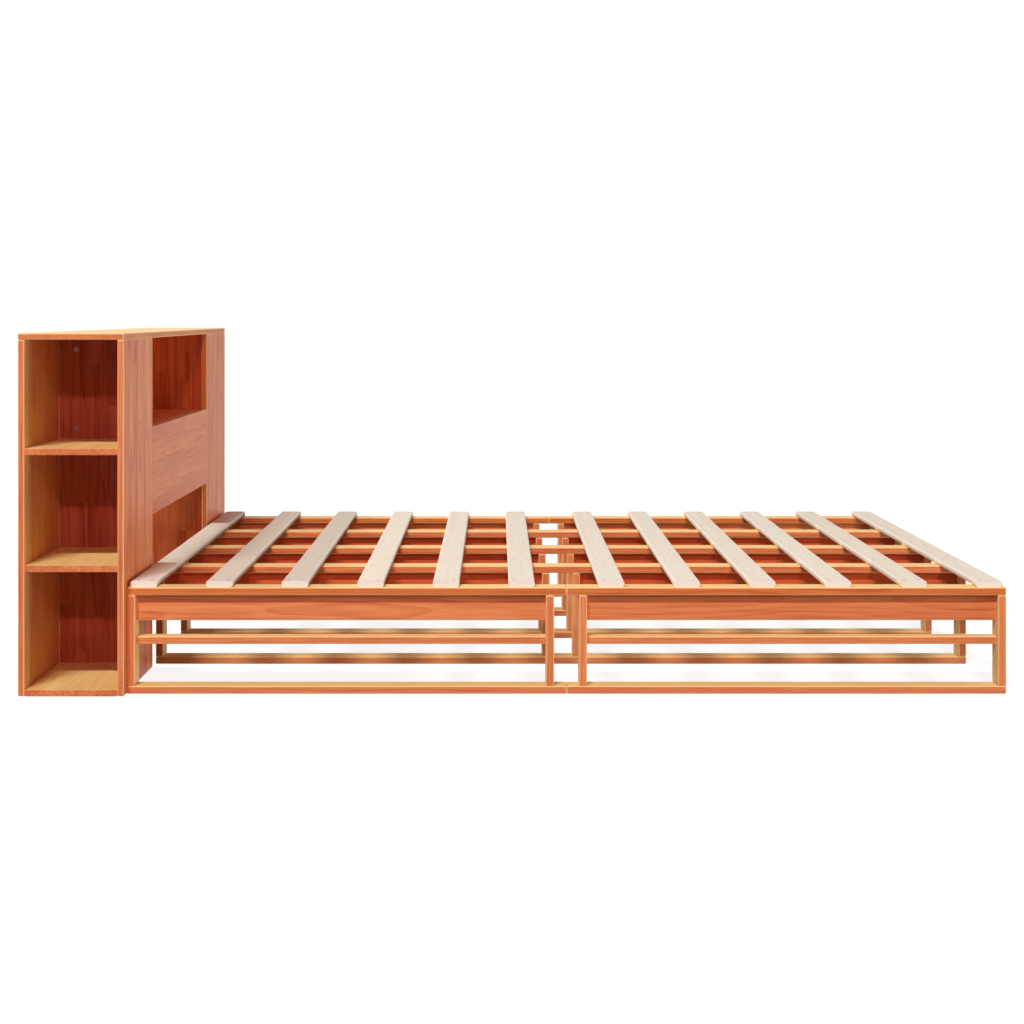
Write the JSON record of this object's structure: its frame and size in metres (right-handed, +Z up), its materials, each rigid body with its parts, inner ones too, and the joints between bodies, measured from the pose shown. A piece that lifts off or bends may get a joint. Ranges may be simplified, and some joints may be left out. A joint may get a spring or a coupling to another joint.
{
  "type": "platform bed",
  "caption": "Low wooden platform bed with lengthwise leg frames, a screwed slat deck and a bookcase headboard with side cubbies, a niche and a panel.",
  "frame": {"origin": "on the floor, under the middle of the bed's bounding box", "axes": "+X from the headboard to the foot, +Y from the left to the right side seen from the foot, +Z up"},
  "size_m": [2.24, 1.454, 0.82],
  "materials": {
    "waxed_pine": "brown wax",
    "bare_pine": "planed, unfinished",
    "beech": "unfinished",
    "steel": "zinc plated"
  },
  "bodies": {
    "root": {"dowels": "beech", "foot_left_apron": "waxed_pine", "foot_left_bottom_rail": "waxed_pine", "foot_left_legs": "waxed_pine", "foot_left_mid_rail": "waxed_pine", "foot_left_top_rail": "waxed_pine", "foot_right_apron": "waxed_pine", "foot_right_bottom_rail": "waxed_pine", "foot_right_legs": "waxed_pine", "foot_right_mid_rail": "waxed_pine", "foot_right_top_rail": "waxed_pine", "front_panel": "waxed_pine", "head_left_apron": "waxed_pine", "head_left_bottom_rail": "waxed_pine", "head_left_legs": "waxed_pine", "head_left_mid_rail": "waxed_pine", "head_left_top_rail": "waxed_pine", "head_right_apron": "waxed_pine", "head_right_bottom_rail": "waxed_pine", "head_right_legs": "waxed_pine", "head_right_mid_rail": "waxed_pine", "head_right_top_rail": "waxed_pine", "headboard_bolts": "steel", "headboard_inserts": "steel", "inner_aprons": "waxed_pine", "inner_bottom_rails": "waxed_pine", "inner_legs": "waxed_pine", "inner_mid_rails": "waxed_pine", "inner_top_rails": "waxed_pine", "joining_plates": "steel", "left_floor_board": "waxed_pine", "left_front_board": "waxed_pine", "left_inner_wall": "waxed_pine", "left_lower_shelf": "waxed_pine", "left_rear_board": "waxed_pine", "left_upper_shelf": "waxed_pine", "niche_back": "waxed_pine", "niche_floor": "waxed_pine", "niche_screws": "steel", "plate_screws": "steel", "right_floor_board": "waxed_pine", "right_front_board": "waxed_pine", "right_inner_wall": "waxed_pine", "right_lower_shelf": "waxed_pine", "right_rear_board": "waxed_pine", "right_upper_shelf": "waxed_pine", "slat_01": "bare_pine", "slat_02": "bare_pine", "slat_03": "bare_pine", "slat_04": "bare_pine", "slat_05": "bare_pine", "slat_06": "bare_pine", "slat_07": "bare_pine", "slat_08": "bare_pine", "slat_09": "bare_pine", "slat_10": "bare_pine", "slat_11": "bare_pine", "slat_12": "bare_pine", "slat_screws": "steel", "top_board": "waxed_pine"}
  },
  "joints": []
}
